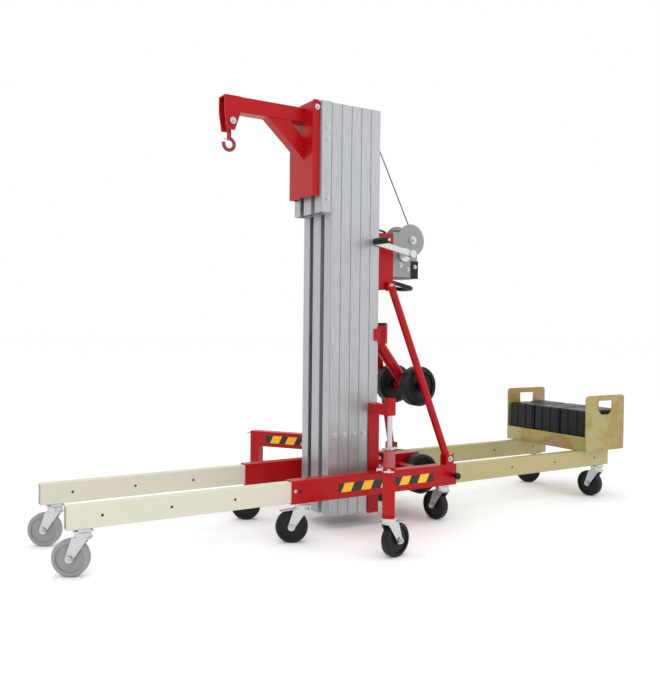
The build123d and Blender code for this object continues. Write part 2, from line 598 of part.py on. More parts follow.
def build_base():
    """Base tubes, cross beam with the lower wheel bracket, legs and plungers."""
    keep("base_tube_near", base_tube(-1))
    keep("base_tube_far", base_tube(1))

    inner = TRACK_HALF - TUBE_WIDTH / 2
    plate = 8.0
    link_front = CARRIER_FRONT + CARRIER_PLATE
    beam = block(CROSS_FRONT, CROSS_FRONT + CROSS_DEPTH, -inner, inner, LEG_BOTTOM, LEG_TOP)
    beam += block(link_front, link_front + CROSS_DEPTH, -inner, inner, LEG_BOTTOM, LEG_TOP)
    arm_y = LOWER_INNER - plate - 6
    arm_top = LOWER_HEIGHT + LOADER_RADIUS + 3
    arm_end = LOWER_X + 2 * LOADER_AXLE
    for side in (-1, 1):
        y0, y1 = sorted((side * arm_y, side * (arm_y + plate)))
        beam += block(link_front, arm_end, y0, y1, LEG_BOTTOM, LEG_TOP)
        beam += block(CROSS_FRONT, arm_end, y0, y1, LEG_BOTTOM, arm_top)
    beam += block(CROSS_FRONT, arm_end, -arm_y - plate, arm_y + plate, arm_top - plate, arm_top)
    axle_half = LOWER_INNER + LOADER_WIDTH + 10
    beam += rod_y(LOWER_X, LOWER_HEIGHT, LOADER_AXLE, -axle_half, axle_half)
    keep("base_crossbeam", beam)

    front_holes = [-FRONT_REACH + FRONT_REACH * (0.14 + 0.29 * n) for n in range(LEG_HOLES)]
    rear_holes = [REAR_END - REAR_REACH * (0.10 + 0.28 * n) for n in range(LEG_HOLES)]
    front = [leg(-FRONT_REACH, LEG_INSERT, side, front_holes) for side in (-1, 1)]
    keep("front_legs", Compound(children=front))
    rear = []
    for side in (-1, 1):
        tube = leg(BASE_LENGTH - LEG_INSERT, REAR_END, side, rear_holes)
        outer = TRACK_HALF + LEG_WIDTH / 2
        y0, y1 = sorted((side * (outer - LEG_WALL - 1), side * (outer + 1)))
        tube -= rod_y(PLUNGER_X, TUBE_MIDDLE, PLUNGER_RADIUS + RUNNING, y0, y1)
        rear.append(tube)
    keep("rear_legs", Compound(children=rear))

    for name, side in (("near", -1), ("far", 1)):
        face = TRACK_HALF + TUBE_WIDTH / 2
        y0, y1 = sorted((side * (face - PLUNGER_BITE), side * (face + PLUNGER_STEM)))
        plunger = rod_y(PLUNGER_X, TUBE_MIDDLE, PLUNGER_RADIUS, y0, y1)
        knob = chamfer(Cylinder(KNOB_RADIUS, 1.6 * KNOB_RADIUS).edges(), KNOB_RADIUS / 3)
        knob = Pos(PLUNGER_X, side * (face + PLUNGER_STEM), TUBE_MIDDLE) * Rot(90, 0, 0) * knob
        keep(f"plunger_{name}", plunger + knob)


def build_carrier():
    """Plates that hug the fixed section, the stubs to the spindles, the spindles and the struts."""
    back = CARRIER_FRONT + CARRIER_PLATE
    inner = MAST_HALF_WIDTH + CLEAR
    outer = inner + CARRIER_PLATE
    stub_bottom = CARRIER_TOP - STUB_SIZE
    reach = PIVOT_OFFSET + 0.3 * STUB_SIZE
    cap = 30.0
    cap_half = 0.45 * STUB_SIZE
    carrier = block(CARRIER_FRONT, back, -outer, outer, CARRIER_BOTTOM, CARRIER_TOP)
    for side in (-1, 1):
        y0, y1 = sorted((side * inner, side * outer))
        carrier += block(back - CARRIER_DEPTH, back, y0, y1, CARRIER_BOTTOM, CARRIER_TOP)
        y0, y1 = sorted((side * (outer - 1), side * reach))
        stub_front = PIVOT_X - STUB_SIZE / 2
        carrier += block(stub_front, stub_front + STUB_SIZE, y0, y1, stub_bottom, CARRIER_TOP)
        knob = block(-cap_half, cap_half, -cap_half, cap_half, 0, cap)
        knob = fillet(knob.edges().filter_by(Axis.Z), 5)
        carrier += Pos(PIVOT_X, side * PIVOT_OFFSET, CARRIER_TOP) * knob
    keep("mast_carrier", carrier)

    spindles = []
    lug_top = TUBE_TOP + LUG
    collar = SPINDLE_COLLAR
    wing = SPINDLE_WING
    for side in (-1, 1):
        y = side * PIVOT_OFFSET
        spindle = rod_z(PIVOT_X, y, SPINDLE_RADIUS, lug_top, stub_bottom)
        spindle += rod_z(PIVOT_X, y, collar, lug_top, ARM_BOTTOM - CLEAR)
        spindle += rod_z(PIVOT_X, y, collar, ARM_TOP + 2, ARM_TOP + 12)
        spindle += block(PIVOT_X - wing, PIVOT_X + wing, y - 5, y + 5, ARM_TOP + 3, ARM_TOP + 11)
        spindles.append(spindle)
    keep("stabiliser_spindles", Compound(children=spindles))

    struts = []
    pad = 6.0
    foot_x = BASE_LENGTH - STRUT_FOOT_INSET
    foot = 40.0
    top_x = BRACKET_REAR - 22
    for side in (-1, 1):
        top_point = Vector(top_x, side * (BRACKET_HALF_WIDTH + STRUT_RADIUS + 2), STRUT_TOP)
        foot_point = Vector(foot_x, side * TRACK_HALF, TUBE_TOP + foot / 2)
        axis = foot_point - top_point
        strut = Plane(origin=top_point, z_dir=axis) * extrude(Circle(STRUT_RADIUS), axis.length)
        strut += Pos(foot_point) * Box(foot, TUBE_WIDTH - 2 * TUBE_WALL, foot)
        y0, y1 = sorted((side * BRACKET_HALF_WIDTH, side * (BRACKET_HALF_WIDTH + pad + STRUT_RADIUS)))
        pad_half = STRUT_RADIUS + 3
        strut += block(top_x - pad_half, top_x + pad_half, y0, y1, STRUT_TOP - pad_half, STRUT_TOP + pad_half)
        struts.append(strut)
    keep("brace_struts", Compound(children=struts))


def stabiliser(side):
    """A swing-out arm: sleeve on the spindle, square arm, and the post that its caster carries."""
    sleeve = rod_z(0, 0, SLEEVE_RADIUS, ARM_BOTTOM, ARM_TOP)
    half = ARM_WIDTH / 2
    arm = sleeve + block(0, ARM_LENGTH + half, -half, half, ARM_BOTTOM, ARM_TOP)
    post = block(ARM_LENGTH - half, ARM_LENGTH + half, -half, half, CASTER_HEIGHT, ARM_TOP)
    arm += post
    cut = half - ARM_WALL
    roof = ARM_TOP - ARM_WALL
    arm -= block(SLEEVE_RADIUS + ARM_WALL, ARM_LENGTH + cut, -cut, cut, ARM_BOTTOM + ARM_WALL, roof)
    arm -= block(ARM_LENGTH - cut, ARM_LENGTH + cut, -cut, cut, CASTER_HEIGHT - 1, roof)
    arm -= rod_z(0, 0, SPINDLE_RADIUS + RUNNING, ARM_BOTTOM - 1, ARM_TOP + 1)
    plate = caster_plate(ARM_LENGTH, 0)
    turn = 180 - side * ARM_ANGLE
    place = Pos(PIVOT_X, side * PIVOT_OFFSET, 0) * Rot(0, 0, turn)
    return place * Compound(children=[arm, plate])


def caster_plate(x, y):
    """The fixed top plate of a caster."""
    half = LEG_WIDTH / 2
    plate = block(x - 1.6 * half, x + 1.6 * half, y - half, y + half, CASTER_HEIGHT - CASTER_PLATE, CASTER_HEIGHT)
    return fillet(plate.edges().filter_by(Axis.Z), CASTER_PLATE)


def caster_fork(with_brake):
    """Swivel head, crown, two tapered cheeks and the axle. The wheel hangs CASTER_TRAIL along +X."""
    head_top = CASTER_HEIGHT - CASTER_PLATE - CLEAR
    crown_low = 2 * WHEEL_RADIUS + 3
    crown_top = crown_low + FORK_PLATE + 1
    reach = 30.0
    boss = 14.0
    width = WHEEL_SIDE + FORK_PLATE
    crown = block(-reach, reach, -width, width, crown_low, crown_top)
    crown = fillet(crown.edges().filter_by(Axis.Z), 8)
    fork = crown + rod_z(0, 0, reach - 2, crown_top, head_top)
    for side in (-1, 1):
        y0, y1 = sorted((side * WHEEL_SIDE, side * width))
        fork += side_plate(
            [
                (-reach + 6, crown_top),
                (reach, crown_top),
                (CASTER_TRAIL + boss, WHEEL_RADIUS),
                (CASTER_TRAIL - boss, WHEEL_RADIUS),
            ],
            y0,
            y1,
        )
        fork += rod_y(CASTER_TRAIL, WHEEL_RADIUS, boss, y0, y1)
    fork += rod_y(CASTER_TRAIL, WHEEL_RADIUS, AXLE_RADIUS, -width - 5, width + 5)
    if with_brake:
        pedal = block(0, 2 * reach, -reach / 2, reach / 2, -FORK_PLATE / 2, FORK_PLATE / 2)
        fork += Pos(reach - 4, 0, crown_top - FORK_PLATE / 2) * Rot(0, 10, 0) * pedal
    return fork


def disc_wheel(radius, width, bore, shoulder, hub):
    """A solid wheel across Y with bevelled shoulders, a dished side and a hub."""
    wheel = chamfer(Cylinder(radius, width).edges(), shoulder * 0.7)
    dish = width / 7
    rim = radius - 1.6 * shoulder
    for side in (-1, 1):
        ring = Cylinder(rim, dish) - Cylinder(hub, dish)
        wheel -= Pos(0, 0, side * (width - dish) / 2) * ring
    wheel -= Cylinder(bore, width + 2)
    return Rot(90, 0, 0) * wheel


def build_casters():
    """Ten swivel casters: four under the base, two under the stabilisers, four under the legs."""
    plates = []
    arm_x = PIVOT_X - ARM_LENGTH * cos(radians(ARM_ANGLE))
    arm_y = PIVOT_OFFSET + ARM_LENGTH * sin(radians(ARM_ANGLE))
    rear_end = BASE_LENGTH - CASTER_INSET
    forward, aside, back = TURN_FORWARD, TURN_ASIDE, TURN_BACK
    spots = {
        "base_front": (CASTER_INSET, TRACK_HALF, (forward, forward), True, TUBE_BOTTOM),
        "base_rear": (rear_end, TRACK_HALF, (aside, aside), False, TUBE_BOTTOM),
        "leg_front": (CASTER_INSET - FRONT_REACH, TRACK_HALF, (forward, forward), False, LEG_BOTTOM),
        "leg_rear": (REAR_END - CASTER_INSET, TRACK_HALF, (aside, forward), False, LEG_BOTTOM),
        "stabiliser": (arm_x, arm_y, (back, back), True, CASTER_HEIGHT),
    }
    for place, (x, y, turns, brake, carried) in spots.items():
        for name, side, turn in (("near", -1, turns[0]), ("far", 1, turns[1])):
            at = Pos(x, side * y, 0) * Rot(0, 0, turn)
            keep(f"fork_{place}_{name}", at * caster_fork(brake))
            wheel = disc_wheel(WHEEL_RADIUS, WHEEL_WIDTH, AXLE_RADIUS + RUNNING, 9.0, 17.0)
            keep(f"wheel_{place}_{name}", at * Pos(CASTER_TRAIL, 0, WHEEL_RADIUS) * wheel)
            if place == "stabiliser":
                continue
            plate = caster_plate(x, side * y)
            if carried > CASTER_HEIGHT:
                half = LEG_WIDTH / 2
                plate += block(x - half, x + half, side * y - half, side * y + half, CASTER_HEIGHT, carried)
            plates.append(plate)
    keep("caster_plates", Compound(children=plates))


def build_loader():
    """Upper loading wheels on their arm behind the mast, and the lower pair between the tubes."""
    front = MAST_REAR + CLEAR
    bottom = LOADER_HEAD_TOP - LOADER_HEAD_HEIGHT
    half = MAST_HALF_WIDTH
    hug = 22.0
    plate = 8.0
    frame = block(front, front + plate, -half - plate, half + plate, bottom + 4, LOADER_HEAD_TOP - 4)
    for side in (-1, 1):
        y0, y1 = sorted((side * (half + CLEAR), side * (half + plate)))
        frame += block(front - hug, front + plate, y0, y1, bottom + 16, LOADER_HEAD_TOP - 16)
    web = LOADER_HEAD_RADIUS * 0.8
    frame += block(front, HEAD_X, -web, web, bottom + 12, LOADER_HEAD_TOP - 12)
    frame += rod_z(HEAD_X, 0, LOADER_HEAD_RADIUS, bottom, LOADER_HEAD_TOP)
    stay = 5.0
    frame += side_plate(
        [
            (front, bottom + 10),
            (HEAD_X, bottom + 10),
            (front + 2 * plate, CARRIER_TOP + 4),
            (front, CARRIER_TOP + 4),
        ],
        -stay,
        stay,
    )
    top_point = Vector(HEAD_X, 0, bottom + LOADER_HEAD_HEIGHT / 2)
    axle_point = Vector(LOADER_X, 0, LOADER_HEIGHT)
    axis = axle_point - top_point
    frame += Plane(origin=top_point, z_dir=axis) * extrude(Circle(LOADER_TUBE), axis.length)
    frame += rod_y(LOADER_X, LOADER_HEIGHT, LOADER_TUBE, -LOADER_INNER + 3, LOADER_INNER - 3)
    axle_half = LOADER_INNER + LOADER_WIDTH + 10
    frame += rod_y(LOADER_X, LOADER_HEIGHT, LOADER_AXLE, -axle_half, axle_half)
    keep("loader_frame", frame)

    pairs = {
        "upper": (LOADER_X, LOADER_HEIGHT, LOADER_INNER),
        "lower": (LOWER_X, LOWER_HEIGHT, LOWER_INNER),
    }
    for name, (x, z, inner) in pairs.items():
        wheels = []
        for side in (-1, 1):
            wheel = disc_wheel(LOADER_RADIUS, LOADER_WIDTH, LOADER_AXLE + RUNNING, 14.0, 24.0)
            wheels.append(Pos(x, side * (inner + LOADER_WIDTH / 2), z) * wheel)
        keep(f"loader_wheels_{name}", Compound(children=wheels))


def build_tray():
    """Folded tray across the rear legs, with hand holes, and its loose counterweights."""
    rear = TRAY_FRONT + TRAY_WIDTH
    half = TRAY_HALF_LENGTH
    top = TRAY_BOTTOM + TRAY_END_HEIGHT
    tray = block(TRAY_FRONT, rear, -half, half, TRAY_BOTTOM, TRAY_BOTTOM + TRAY_PLATE)
    for x0 in (TRAY_FRONT, rear - TRAY_PLATE):
        tray += block(x0, x0 + TRAY_PLATE, -half, half, TRAY_BOTTOM, TRAY_BOTTOM + TRAY_LIP)
    middle = TRAY_FRONT + TRAY_WIDTH / 2
    hole_top = top - HAND_HOLE_DROP
    round_part = HAND_HOLE_HEIGHT / 2
    for side in (-1, 1):
        y0, y1 = sorted((side * (half - TRAY_PLATE), side * half))
        end = block(TRAY_FRONT, rear, y0, y1, TRAY_BOTTOM, top)
        corners = end.edges().filter_by(Axis.Y).group_by(Axis.Z)[-1]
        end = fillet(corners, 3 * TRAY_PLATE)
        hole = block(
            middle - HAND_HOLE_WIDTH / 2,
            middle + HAND_HOLE_WIDTH / 2,
            y0 - 1,
            y1 + 1,
            hole_top - HAND_HOLE_HEIGHT,
            hole_top,
        )
        lower = hole.edges().filter_by(Axis.Y).group_by(Axis.Z)[0]
        tray += end - fillet(lower, round_part)
    keep("weight_tray", tray)

    inner_x = TRAY_WIDTH - 2 * TRAY_PLATE
    inner_y = 2 * half - 2 * TRAY_PLATE
    size_x = (inner_x - (WEIGHTS_ACROSS + 1) * WEIGHT_GAP) / WEIGHTS_ACROSS
    size_y = (inner_y - (WEIGHTS_ALONG + 1) * WEIGHT_GAP) / WEIGHTS_ALONG
    floor = TRAY_BOTTOM + TRAY_PLATE
    weights = []
    for row in range(WEIGHTS_ACROSS):
        for column in range(WEIGHTS_ALONG):
            x0 = TRAY_FRONT + TRAY_PLATE + WEIGHT_GAP + row * (size_x + WEIGHT_GAP)
            y0 = -half + TRAY_PLATE + WEIGHT_GAP + column * (size_y + WEIGHT_GAP)
            weight = block(x0, x0 + size_x, y0, y0 + size_y, floor, floor + WEIGHT_HEIGHT)
            weight = fillet(weight.edges().filter_by(Axis.Z), 14)
            weight = chamfer(weight.faces().sort_by(Axis.Z)[-1].edges(), 5)
            for x in (x0, x0 + size_x):
                for part in (1, 2):
                    weight -= rod_z(x, y0 + size_y * part / 3, RIB_GROOVE, floor - 1, floor + WEIGHT_HEIGHT + 1)
            weights.append(weight)
    keep("counterweights", Compound(children=weights))


build_mast()
build_jib()
build_winch()
build_rope()
build_handle()
build_base()
build_carrier()
for arm_name, arm_side in (("near", -1), ("far", 1)):
    keep(f"stabiliser_{arm_name}", stabiliser(arm_side))
build_casters()
build_loader()
build_tray()

os.makedirs("parts", exist_ok=True)
for node_name, node_shape in NODES.items():
    export_step(node_shape, f"parts/{node_name}.step")
print(len(NODES), "nodes, shift", round(X_SHIFT, 3))
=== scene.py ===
# %% [markdown]
# # Manual stacker: from plain solids to a dressed studio model
# A manual stacker is a lift that is wound by hand. Nested aluminium sections rise from a steel
# base on casters, and a jib with a hook carries the load. The solids come in as the frame, in
# metres. Each step below adds one thing: the finishes, then the small parts that ride on the
# bodies, then the camera, the floor and the light.

import json
import math

import bmesh
import bpy
from mathutils import Matrix, Vector

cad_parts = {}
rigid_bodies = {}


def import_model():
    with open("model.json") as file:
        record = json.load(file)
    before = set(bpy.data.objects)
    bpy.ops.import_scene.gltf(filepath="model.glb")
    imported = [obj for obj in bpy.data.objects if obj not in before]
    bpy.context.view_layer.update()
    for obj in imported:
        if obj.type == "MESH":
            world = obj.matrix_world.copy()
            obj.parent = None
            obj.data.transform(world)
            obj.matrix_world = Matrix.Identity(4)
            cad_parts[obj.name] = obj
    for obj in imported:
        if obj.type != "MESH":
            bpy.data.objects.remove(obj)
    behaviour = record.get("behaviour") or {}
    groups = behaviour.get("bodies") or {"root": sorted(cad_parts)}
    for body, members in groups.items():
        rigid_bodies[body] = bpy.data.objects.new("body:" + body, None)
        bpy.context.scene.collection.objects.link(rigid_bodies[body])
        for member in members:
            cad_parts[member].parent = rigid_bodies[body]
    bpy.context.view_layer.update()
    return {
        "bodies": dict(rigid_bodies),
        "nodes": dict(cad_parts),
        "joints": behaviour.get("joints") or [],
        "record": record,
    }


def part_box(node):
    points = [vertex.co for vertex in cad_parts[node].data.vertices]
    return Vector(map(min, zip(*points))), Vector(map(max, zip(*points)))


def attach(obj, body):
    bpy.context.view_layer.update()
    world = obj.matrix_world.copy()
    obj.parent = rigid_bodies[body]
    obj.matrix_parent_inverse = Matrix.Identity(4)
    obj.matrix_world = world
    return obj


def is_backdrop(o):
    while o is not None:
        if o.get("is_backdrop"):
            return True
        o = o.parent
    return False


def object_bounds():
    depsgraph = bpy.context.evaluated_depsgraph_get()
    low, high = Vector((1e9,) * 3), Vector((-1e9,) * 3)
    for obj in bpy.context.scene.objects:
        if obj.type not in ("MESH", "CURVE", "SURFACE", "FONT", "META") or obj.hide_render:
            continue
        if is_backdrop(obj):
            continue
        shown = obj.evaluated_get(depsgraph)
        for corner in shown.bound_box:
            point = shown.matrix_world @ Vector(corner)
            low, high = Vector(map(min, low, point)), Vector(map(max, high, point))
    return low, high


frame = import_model()
nodes = frame["nodes"]

# %% [markdown]
# ## Helpers for colour and shaders
# Paint charts give colours as sRGB hex, while shaders reckon in linear light, so one function
# turns every colour. `add` makes a shader node with its settings, values and links in one call,
# so a finish reads as a short list from pattern to surface. `grain` is the fine unevenness that
# every real coat has. It takes its size in millimetres, so it stays true to the object's scale.

# %% Colour and node helpers
MM = 0.001


def linear(hex_colour, alpha=1.0):
    """sRGB hex to the linear colour that shaders use."""
    values = [int(hex_colour[i : i + 2], 16) / 255 for i in (1, 3, 5)]
    bent = [v / 12.92 if v <= 0.04045 else ((v + 0.055) / 1.055) ** 2.4 for v in values]
    return bent + [alpha]


def add(tree, kind, values=None, links=None, stops=(), **settings):
    """One shader node with its settings, socket values and incoming links.

    A node that holds a colour ramp takes its stops as (position, hex) pairs.
    """
    node = tree.nodes.new(kind)
    for name, value in settings.items():
        setattr(node, name, value)
    for socket, value in (values or {}).items():
        node.inputs[socket].default_value = value
    for socket, source in (links or {}).items():
        tree.links.new(source, node.inputs[socket])
    if stops:
        elements = node.color_ramp.elements
        while len(elements) < len(stops):
            elements.new(0.5)
        for element, (place, colour) in zip(elements, stops):
            element.position = place
            element.color = linear(colour)
    return node


def new_material(name, **values):
    """A principled material with uniform values on its shader, with its tree and shader."""
    made = bpy.data.materials.new(name)
    made.use_nodes = True
    tree = made.node_tree
    shader = tree.nodes["Principled BSDF"]
    for socket, value in values.items():
        shader.inputs[socket.replace("_", " ")].default_value = value
    return made, tree, shader


def grain(tree, shader, size_mm, strength, stretch=(1, 1, 1), depth_mm=0.05):
    """A noise bump whose pattern is size_mm across; a small stretch draws it out on that axis."""
    place = add(tree, "ShaderNodeTexCoord")
    scaled = add(
        tree, "ShaderNodeMapping", {"Scale": stretch}, {"Vector": place.outputs["Object"]}
    )
    noise = add(
        tree,
        "ShaderNodeTexNoise",
        {"Scale": 1 / (size_mm * MM), "Detail": 3.0},
        {"Vector": scaled.outputs["Vector"]},
    )
    bump = add(
        tree,
        "ShaderNodeBump",
        {"Strength": strength, "Distance": depth_mm * MM},
        {"Height": noise.outputs["Fac"]},
    )
    tree.links.new(bump.outputs["Normal"], shader.inputs["Normal"])
    return scaled, noise


print("helpers ready")

# %% [markdown]
# ## Paints, plastics and film
# The base, struts and jib are welded steel under red powder coat, a dry powder that is baked
# until it flows and leaves a glossy skin with a faint ripple. The weights are cast iron under
# black paint, and the grips and caps are moulded. Each is one even coat, so one colour and one
# roughness will do, and the grain breaks up the highlights.

# %% Make the paints, plastics and film
# Deep red under a thin clear skin: soft highlights along the edges of the tubes.
red, tree, shader = new_material(
    "gloss_red_powder_coat",
    Base_Color=linear("#A5070E"),
    Roughness=0.34,
    Specular_IOR_Level=0.2,
    Coat_Weight=0.08,
    Coat_Roughness=0.12,
)
grain(tree, shader, size_mm=3.0, strength=0.12)

# Sand-cast skin under paint: near black, with a coarse sparkle where the light grazes it.
iron_black, tree, shader = new_material(
    "black_painted_cast_iron",
    Base_Color=linear("#08090B"),
    Roughness=0.4,
    Specular_IOR_Level=0.3,
)
grain(tree, shader, size_mm=2.0, strength=0.25, depth_mm=0.2)

# Injection-moulded skin: even and satin, a little lighter than the iron.
plastic_black, tree, shader = new_material(
    "black_moulded_plastic",
    Base_Color=linear("#0A0A0C"),
    Roughness=0.4,
    Specular_IOR_Level=0.3,
)
grain(tree, shader, size_mm=1.0, strength=0.1)

# The front pair of legs is pale all over, so its coat is a warm cream with little gloss.
pale_leg, tree, shader = new_material(
    "pale_cream_leg_finish", Base_Color=linear("#CDC9B8"), Roughness=0.42
)
grain(tree, shader, size_mm=3.0, strength=0.08)

# Cut vinyl: flat colour with a sharp edge, and the same sheen on both colours.
stripe_yellow, _, _ = new_material(
    "yellow_cut_vinyl_film", Base_Color=linear("#F4B400"), Roughness=0.4
)
stripe_black, _, _ = new_material(
    "black_cut_vinyl_film", Base_Color=linear("#141414"), Roughness=0.4
)
print("paints, plastics and film ready")

# %% [markdown]
# ## Metals
# The mast sections are pressed through a die and left as they come, so fine lines run along
# their length. A noise that is drawn out fifty times along Z gives both those lines and their
# change of tone. Brackets and forks are zinc plated. The tray is zinc that was dipped in a yellow
# passivating bath, and its thin film shows rainbow patches, so a soft cloud runs through a ramp of
# those tints. The long legs show far less of this, and get a plainer khaki.

# %% Make the metals
# Drawn lines along the length: a silver that streaks up and down, never sideways.
DIE_LINES = (1, 1, 0.02)
mast_metal, tree, shader = new_material("mill_finish_aluminium", Metallic=0.62, Roughness=0.4)
_, streaks = grain(tree, shader, size_mm=1.6, strength=0.16, stretch=DIE_LINES, depth_mm=0.06)
tone = add(
    tree,
    "ShaderNodeValToRGB",
    links={"Fac": streaks.outputs["Fac"]},
    stops=[(0.3, "#A0A2A5"), (0.7, "#B9BBBE")],
)
tree.links.new(tone.outputs["Color"], shader.inputs["Base Color"])

# Fresh bright plating: a cool, light metal that stands out against the red.
zinc, tree, shader = new_material(
    "bright_zinc_plate", Base_Color=linear("#C4C6C8"), Metallic=0.85, Roughness=0.33
)
grain(tree, shader, size_mm=4.0, strength=0.12)

# Older, duller plating on the winch: the same metal a few tones down, with wider highlights.
winch_zinc, tree, shader = new_material(
    "dull_zinc_winch_plate", Base_Color=linear("#8E918F"), Metallic=0.85, Roughness=0.42
)
grain(tree, shader, size_mm=4.0, strength=0.12)

# Yellow passivation: gold with drifts of green, rose and violet.
CLOUD_SIZE = 140 * MM
yellow_zinc, tree, shader = new_material("yellow_passivated_zinc", Metallic=0.55, Roughness=0.36)
scaled, _ = grain(tree, shader, size_mm=2.0, strength=0.08)
cloud = add(
    tree,
    "ShaderNodeTexNoise",
    {"Scale": 1 / CLOUD_SIZE, "Detail": 2.0, "Distortion": 1.2},
    {"Vector": scaled.outputs["Vector"]},
)
tint = add(
    tree,
    "ShaderNodeValToRGB",
    links={"Fac": cloud.outputs["Fac"]},
    stops=[
        (0.25, "#93A084"),
        (0.42, "#A79C66"),
        (0.55, "#9C8748"),
        (0.66, "#A98A6E"),
        (0.78, "#97869A"),
    ],
)
tree.links.new(tint.outputs["Color"], shader.inputs["Base Color"])

# A thinner film on the legs: an even khaki with only a slight speckle.
leg_zinc, tree, shader = new_material("khaki_passivated_zinc", Metallic=0.35, Roughness=0.42)
_, speckle = grain(tree, shader, size_mm=2.0, strength=0.06)
tint = add(
    tree,
    "ShaderNodeValToRGB",
    links={"Fac": speckle.outputs["Fac"]},
    stops=[(0.3, "#A89E70"), (0.7, "#B4AA7C")],
)
tree.links.new(tint.outputs["Color"], shader.inputs["Base Color"])

# Stranded wire: dark grey, and broken into tiny lights by the strands.
rope_wire, tree, shader = new_material(
    "dark_steel_wire_rope", Base_Color=linear("#4A4C50"), Metallic=0.6, Roughness=0.5
)
grain(tree, shader, size_mm=1.2, strength=0.5, depth_mm=0.4)

# A forged hook in a thin coat: reddish brown with the metal still showing.
hook_red, _, _ = new_material(
    "copper_red_forged_hook", Base_Color=linear("#8A2A14"), Metallic=0.3, Roughness=0.34
)
print("metals ready")

# %% [markdown]
# ## Rubbers
# The casters have moulded rubber tyres. Carbon black makes most of them nearly black and dull,
# and the front pair is a pale, non-marking grey. Rubber scatters light widely, so both are rough,
# and only the black one is close enough to the eye to need a grain.

# %% Make the rubbers
# Carbon-black rubber: dark and dull, with a soft edge of light on the tread.
tyre_black, tree, shader = new_material(
    "black_moulded_rubber",
    Base_Color=linear("#0C0C0E"),
    Roughness=0.5,
    Specular_IOR_Level=0.3,
)
grain(tree, shader, size_mm=1.5, strength=0.15)

# Non-marking rubber: a flat, slightly violet grey.
tyre_pale, _, _ = new_material(
    "pale_grey_rubber", Base_Color=linear("#8F8C90"), Roughness=0.55
)
print("rubbers ready")

# %% [markdown]
# ## Give every solid its finish
# The record names a material slot for each solid, so one table from slot to finish dresses the
# whole machine. Three solids look different from the rest of their slot, and a second, shorter
# table gives those their own finish.

# %% Dress the solids
BY_SLOT = {
    "red_paint": red,
    "mast_aluminium": mast_metal,
    "black_paint": iron_black,
    "yellow_zinc": yellow_zinc,
    "bright_zinc": zinc,
    "black_tyre": tyre_black,
    "pale_leg": pale_leg,
    "pale_tyre": tyre_pale,
    "black_plastic": plastic_black,
    "rope_steel": rope_wire,
    "hook_copper": hook_red,
}
BY_NODE = {"rear_legs": leg_zinc, "winch_frame": winch_zinc, "winch_drum": winch_zinc}
slot_of = {entry["node"]: entry["material_slot"] for entry in frame["record"]["subparts"]}
for name, obj in nodes.items():
    obj.data.materials.clear()
    obj.data.materials.append(BY_NODE.get(name, BY_SLOT[slot_of[name]]))
print("dressed", len(nodes), "solids with", len(bpy.data.materials), "materials")

# %% [markdown]
# ## Builders for the small parts
# A bolt shows as a washer, a hexagon and the end of its thread. On the real machine these are
# pressed, forged and rolled, but at this size three short prisms give the same outline. All the
# bolts on one body are one mesh, so they move with that body and the list of pieces stays short.

# %% Mesh builders
WASHER_SIDES, HEAD_SIDES, END_SIDES = 24, 6, 16
WASHER_WIDTH, WASHER_HEIGHT = 1.5, 0.25
HEAD_HEIGHT = 0.75
END_WIDTH, END_TOP, END_HEIGHT = 0.55, 0.45, 0.45


def finish_mesh(name, mesh_data, body, material, smooth=False):
    """Turn a bmesh into a piece that rides on a body."""
    mesh = bpy.data.meshes.new(name)
    mesh_data.to_mesh(mesh)
    mesh_data.free()
    obj = bpy.data.objects.new(name, mesh)
    bpy.context.scene.collection.objects.link(obj)
    mesh.materials.append(material)
    if smooth:
        for face in mesh.polygons:
            face.use_smooth = True
    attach(obj, body)
    return obj


def prism(mesh_data, point, axis, radius, height, sides, start=0.0, top=None):
    """A closed prism or cone from `start` to `start + height` along axis, away from point."""
    axis = Vector(axis).normalized()
    turn = axis.to_track_quat("Z", "Y").to_matrix().to_4x4()
    place = Matrix.Translation(Vector(point) + axis * (start + height / 2)) @ turn
    bmesh.ops.create_cone(
        mesh_data,
        cap_ends=True,
        segments=sides,
        radius1=radius,
        radius2=radius if top is None else top,
        depth=height,
        matrix=place,
    )


def bolts(name, body, spots):
    """Zinc hex heads on washers. A spot is (point, axis, head radius), in metres."""
    mesh_data = bmesh.new()
    for point, axis, radius in spots:
        washer = radius * WASHER_HEIGHT
        prism(mesh_data, point, axis, radius * WASHER_WIDTH, washer, WASHER_SIDES)
        prism(mesh_data, point, axis, radius, radius * HEAD_HEIGHT, HEAD_SIDES, start=washer)
        prism(
            mesh_data,
            point,
            axis,
            radius * END_WIDTH,
            radius * END_HEIGHT,
            END_SIDES,
            start=radius,
            top=radius * END_TOP,
        )
    return finish_mesh(name, mesh_data, body, zinc)


def close_rings(mesh_data, first, second):
    """Cap two matching rings of points and join them with side faces."""
    mesh_data.faces.new(first)
    mesh_data.faces.new(list(reversed(second)))
    count = len(first)
    for i in range(count):
        j = (i + 1) % count
        mesh_data.faces.new((first[i], first[j], second[j], second[i]))


joint_axis = {
    joint["child"]: (Vector(joint["pos_m"]), Vector(joint["axis"]))
    for joint in frame["joints"]
    if "pos_m" in joint
}
tube_front_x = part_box("base_tube_near")[0][0]
SIDES = (-1, 1)
print("builders ready, joints with an axis:", len(joint_axis))

# %% [markdown]
# ### Mast rollers, carriage and jib bolts
# Each sliding section runs on rollers, and the bolts that hold them show on its sides, in a row
# above the base tube and another below it. The carriage has three on each side, and the jib one at
# its ear and one at the hook's pin. Their places are taken from each solid's own box, so they stay
# on the metal if a section changes size.

